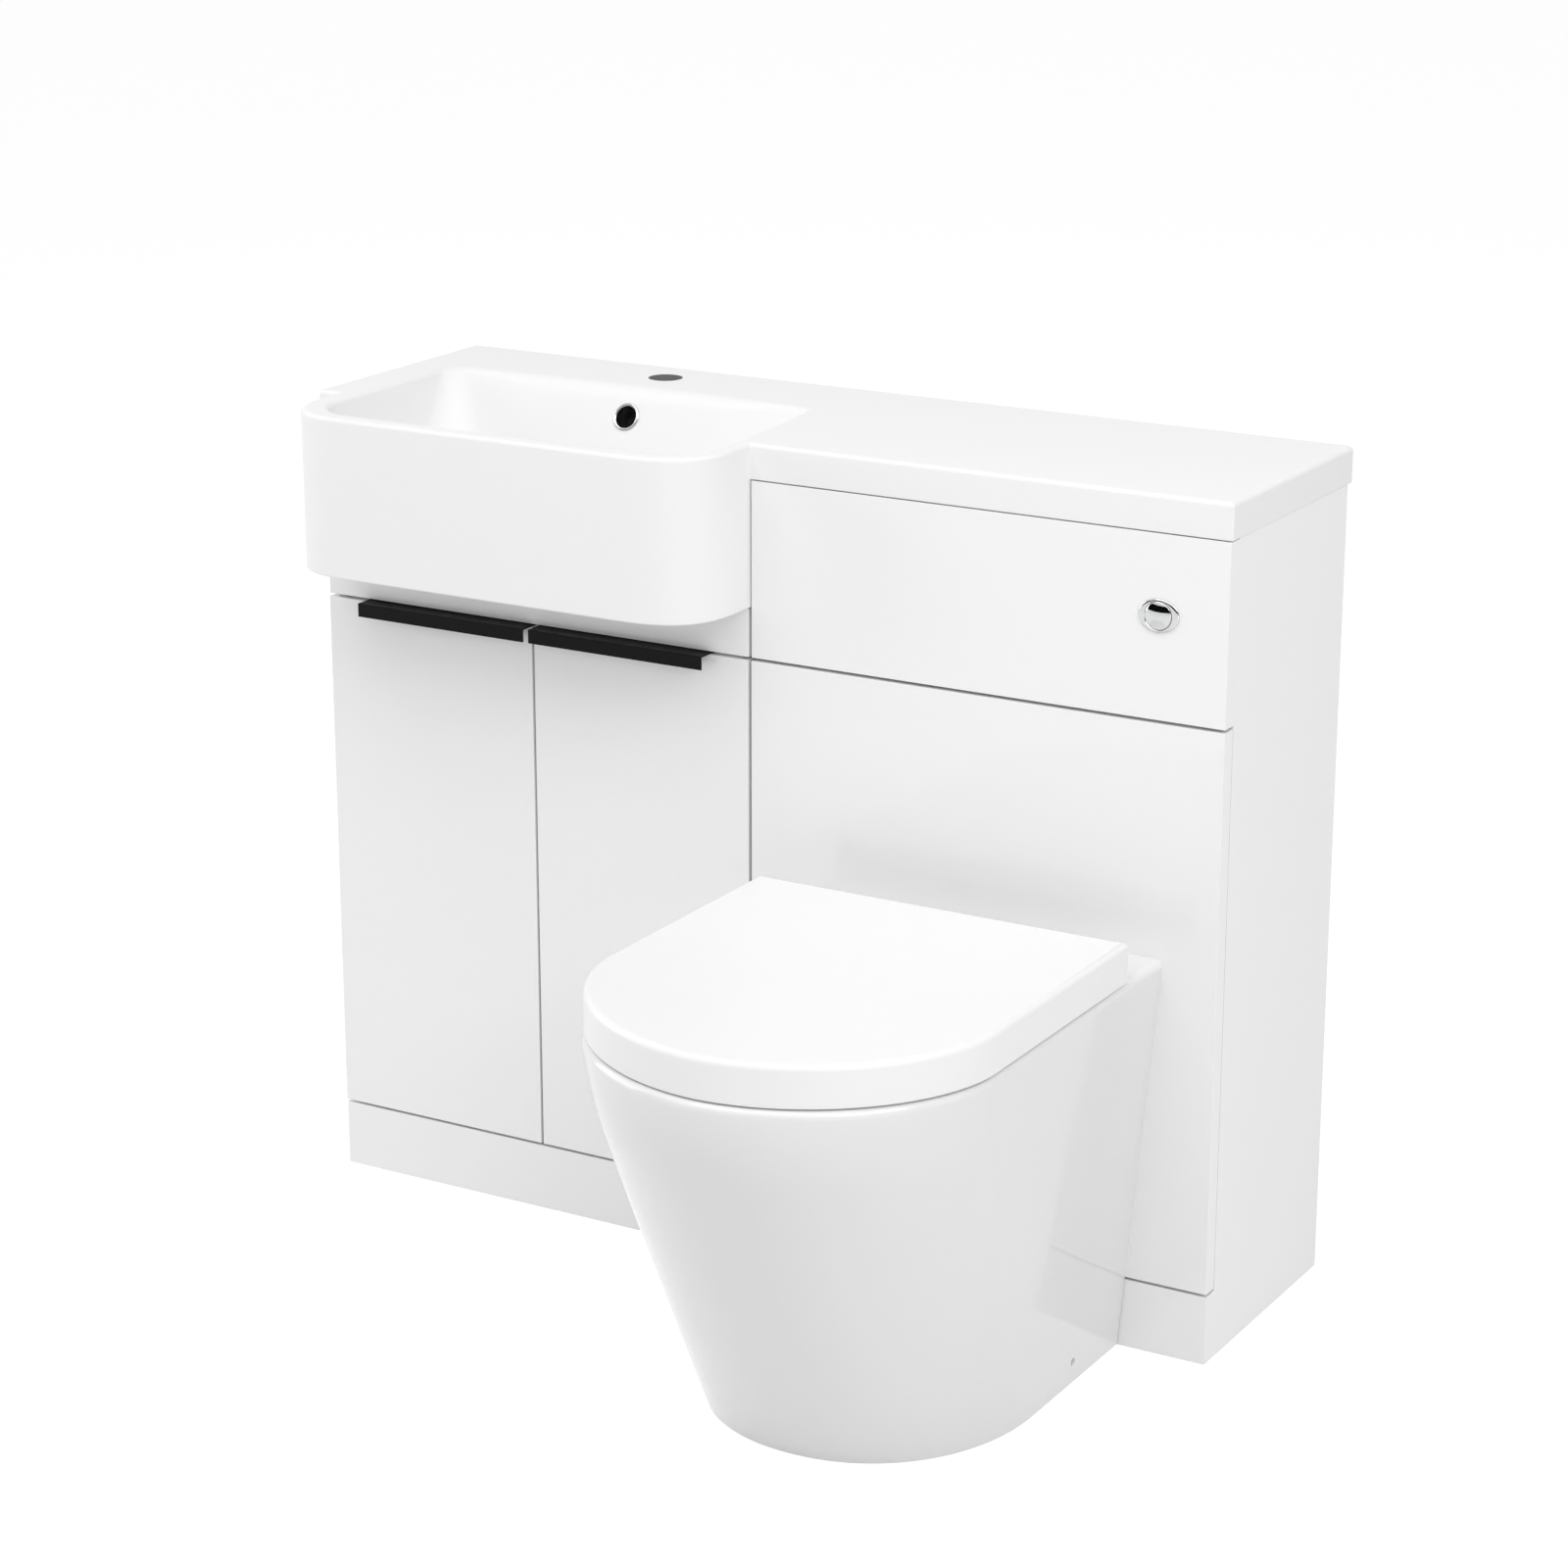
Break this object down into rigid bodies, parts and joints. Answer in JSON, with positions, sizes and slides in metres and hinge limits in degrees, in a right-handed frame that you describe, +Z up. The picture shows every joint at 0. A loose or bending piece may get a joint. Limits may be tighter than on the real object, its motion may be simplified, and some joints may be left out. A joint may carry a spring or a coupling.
{
  "type": "toilet and basin combination unit",
  "caption": "Basin cupboard and toilet cupboard under one moulded basin worktop, with a back to wall pan, concealed cistern and push button.",
  "frame": {"origin": "middle of the footprint of the whole object, on the floor", "axes": "+X along the front to the right, +Y towards the wall, +Z up"},
  "size_m": [1.006, 0.8, 0.8385],
  "materials": {
    "gloss_board": "white high gloss faced board",
    "basin_stone": "white gloss cast stone",
    "china": "white glazed",
    "seat_plastic": "white gloss",
    "chrome": "polished",
    "satin_black": "satin black",
    "steel": "plated",
    "fitting_plastic": "moulded",
    "buffer": "soft clear",
    "rubber": "matt black"
  },
  "bodies": {
    "root": {"basin_worktop": "basin_stone", "overflow_ring": "chrome", "vanity_side_left": "gloss_board", "vanity_side_right": "gloss_board", "vanity_base": "gloss_board", "vanity_front_rail": "gloss_board", "vanity_back_rails": "gloss_board", "vanity_fascia": "gloss_board", "vanity_plinth": "gloss_board", "wc_side_left": "gloss_board", "wc_side_right": "gloss_board", "wc_front_rail": "gloss_board", "wc_back_rail": "gloss_board", "wc_fascia": "gloss_board", "access_panel": "gloss_board", "wc_plinth": "gloss_board", "panel_blocks": "fitting_plastic", "cam_locks": "steel", "unit_connectors": "steel", "wall_brackets": "steel", "door_buffers": "buffer", "hinge_arms": "steel", "hinge_plates": "steel", "hinge_screws": "steel", "toilet_pan": "china", "pan_brackets": "fitting_plastic", "pan_bracket_screws": "chrome", "seat_hinge_posts": "chrome", "seat_hinge_pins": "steel", "seat_bolts": "steel", "seat_nuts": "fitting_plastic", "cistern_tank": "fitting_plastic", "cistern_lid": "fitting_plastic", "cistern_brackets": "steel", "flush_valve": "fitting_plastic", "valve_nuts": "fitting_plastic", "fill_valve": "fitting_plastic", "flush_pipe": "fitting_plastic", "inlet_seal": "rubber", "air_hose": "fitting_plastic", "button_bezel": "chrome", "button_housing": "fitting_plastic", "button_nut": "fitting_plastic"},
    "door_left": {"door_left": "gloss_board", "handle_left": "satin_black", "handle_screws_left": "satin_black", "hinge_cups_left": "steel"},
    "door_right": {"door_right": "gloss_board", "handle_right": "satin_black", "handle_screws_right": "satin_black", "hinge_cups_right": "steel"},
    "link_left": {"hinge_links_left": "steel"},
    "link_right": {"hinge_links_right": "steel"},
    "seat": {"seat_ring": "seat_plastic", "seat_buffers": "buffer"},
    "lid": {"seat_lid": "seat_plastic", "lid_buffers": "buffer"},
    "flush_button": {"flush_button": "chrome"},
    "float": {"fill_float": "fitting_plastic"}
  },
  "joints": [
    {"name": "left_link", "type": "hinge", "parent": "root", "child": "link_left", "pos_m": [-0.4635, 0.1559, 0.34875], "axis": [0, 0, 1], "range_deg": [0, 39]},
    {"name": "left_door", "type": "hinge", "parent": "link_left", "child": "door_left", "pos_m": [-0.4877, 0.1371, 0.34875], "axis": [0, 0, 1], "range_deg": [-134, 0]},
    {"name": "right_link", "type": "hinge", "parent": "root", "child": "link_right", "pos_m": [-0.0325, 0.1559, 0.34875], "axis": [0, 0, 1], "range_deg": [-39, 0]},
    {"name": "right_door", "type": "hinge", "parent": "link_right", "child": "door_right", "pos_m": [-0.0083, 0.1371, 0.34875], "axis": [0, 0, 1], "range_deg": [0, 134]},
    {"name": "seat_hinge", "type": "hinge", "parent": "root", "child": "seat", "pos_m": [0.252, 0.0374, 0.422], "axis": [-1, 0, 0], "range_deg": [0, 95]},
    {"name": "lid_hinge", "type": "hinge", "parent": "seat", "child": "lid", "pos_m": [0.252, 0.0374, 0.422], "axis": [1, 0, 0], "range_deg": [-95, 0]},
    {"name": "flush_press", "type": "slide", "parent": "root", "child": "flush_button", "axis": [0, 1, 0], "range_m": [0, 0.005], "stiffness_N_per_m": 900, "springref_m": -0.002},
    {"name": "float_rise", "type": "slide", "parent": "root", "child": "float", "axis": [0, 0, 1], "range_m": [0, 0.07]}
  ],
  "couplings": [
    {"joint": "left_link", "follows": "left_door", "ratio": -0.291},
    {"joint": "right_link", "follows": "right_door", "ratio": -0.291}
  ]
}
